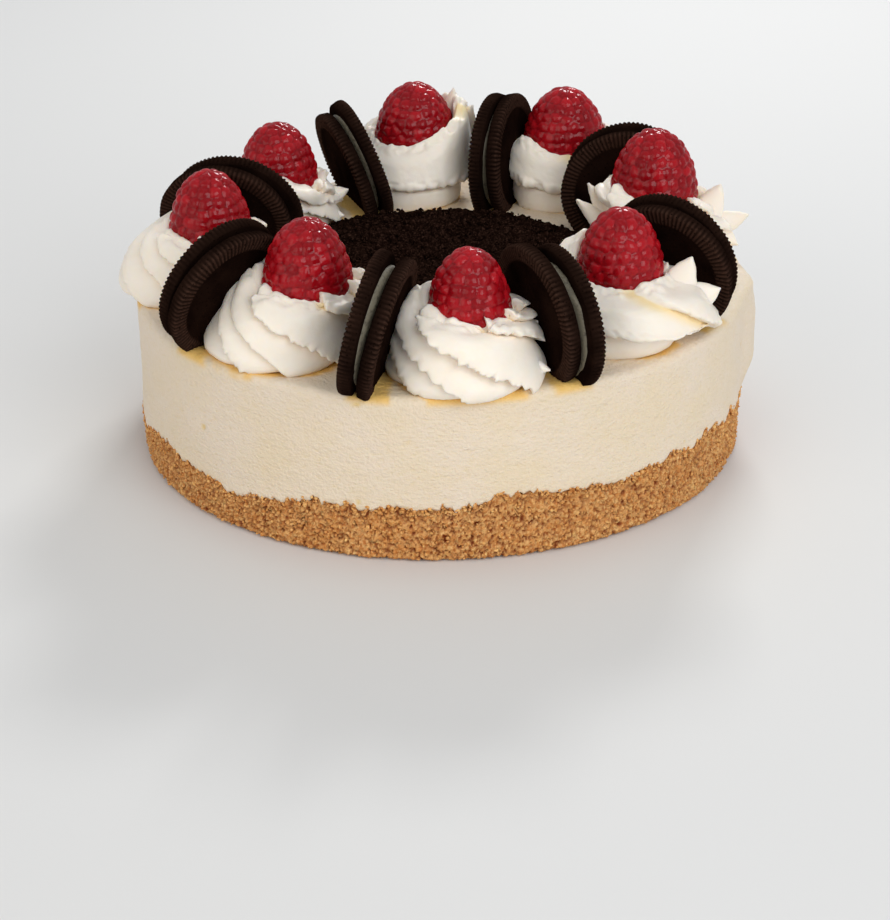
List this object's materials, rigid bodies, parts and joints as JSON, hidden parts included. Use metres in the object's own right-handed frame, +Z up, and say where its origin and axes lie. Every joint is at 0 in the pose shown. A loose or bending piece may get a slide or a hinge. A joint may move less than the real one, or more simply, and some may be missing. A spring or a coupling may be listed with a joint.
{
  "type": "cheesecake",
  "caption": "Round unbaked cheesecake on a crumb base, ringed with cream rosettes, berries and standing sandwich biscuits round a disc of dark crumbs.",
  "frame": {"origin": "centre of the cake's flat underside", "axes": "+Z up; -Y towards the front seen in the picture; +X to the right of that view"},
  "size_m": [0.2124, 0.2146, 0.0988],
  "materials": {
    "baked_crumb": "rough golden brown biscuit crumb, pressed and dry",
    "cheese_filling": "pale ivory set cream cheese, satin, finely pitted",
    "dark_crumb": "loose dark cocoa biscuit crumbs, dry",
    "whipped_cream": "piped whipped cream, soft satin",
    "raspberry_skin": "deep red moist drupelets",
    "cocoa_wafer": "baked dark cocoa biscuit, dry",
    "sugar_cream": "firm off-white sugar cream"
  },
  "bodies": {
    "root": {"biscuit_base": "baked_crumb", "cheesecake_filling": "cheese_filling", "crumb_topping": "dark_crumb", "cream_rosette_1": "whipped_cream", "raspberry_1": "raspberry_skin", "biscuit_1_wafer_near": "cocoa_wafer", "biscuit_1_wafer_far": "cocoa_wafer", "biscuit_1_cream": "sugar_cream", "cream_rosette_2": "whipped_cream", "raspberry_2": "raspberry_skin", "biscuit_2_wafer_near": "cocoa_wafer", "biscuit_2_wafer_far": "cocoa_wafer", "biscuit_2_cream": "sugar_cream", "cream_rosette_3": "whipped_cream", "raspberry_3": "raspberry_skin", "biscuit_3_wafer_near": "cocoa_wafer", "biscuit_3_wafer_far": "cocoa_wafer", "biscuit_3_cream": "sugar_cream", "cream_rosette_4": "whipped_cream", "raspberry_4": "raspberry_skin", "biscuit_4_wafer_near": "cocoa_wafer", "biscuit_4_wafer_far": "cocoa_wafer", "biscuit_4_cream": "sugar_cream", "cream_rosette_5": "whipped_cream", "raspberry_5": "raspberry_skin", "biscuit_5_wafer_near": "cocoa_wafer", "biscuit_5_wafer_far": "cocoa_wafer", "biscuit_5_cream": "sugar_cream", "cream_rosette_6": "whipped_cream", "raspberry_6": "raspberry_skin", "biscuit_6_wafer_near": "cocoa_wafer", "biscuit_6_wafer_far": "cocoa_wafer", "biscuit_6_cream": "sugar_cream", "cream_rosette_7": "whipped_cream", "raspberry_7": "raspberry_skin", "biscuit_7_wafer_near": "cocoa_wafer", "biscuit_7_wafer_far": "cocoa_wafer", "biscuit_7_cream": "sugar_cream", "cream_rosette_8": "whipped_cream", "raspberry_8": "raspberry_skin", "biscuit_8_wafer_near": "cocoa_wafer", "biscuit_8_wafer_far": "cocoa_wafer", "biscuit_8_cream": "sugar_cream"}
  },
  "joints": []
}
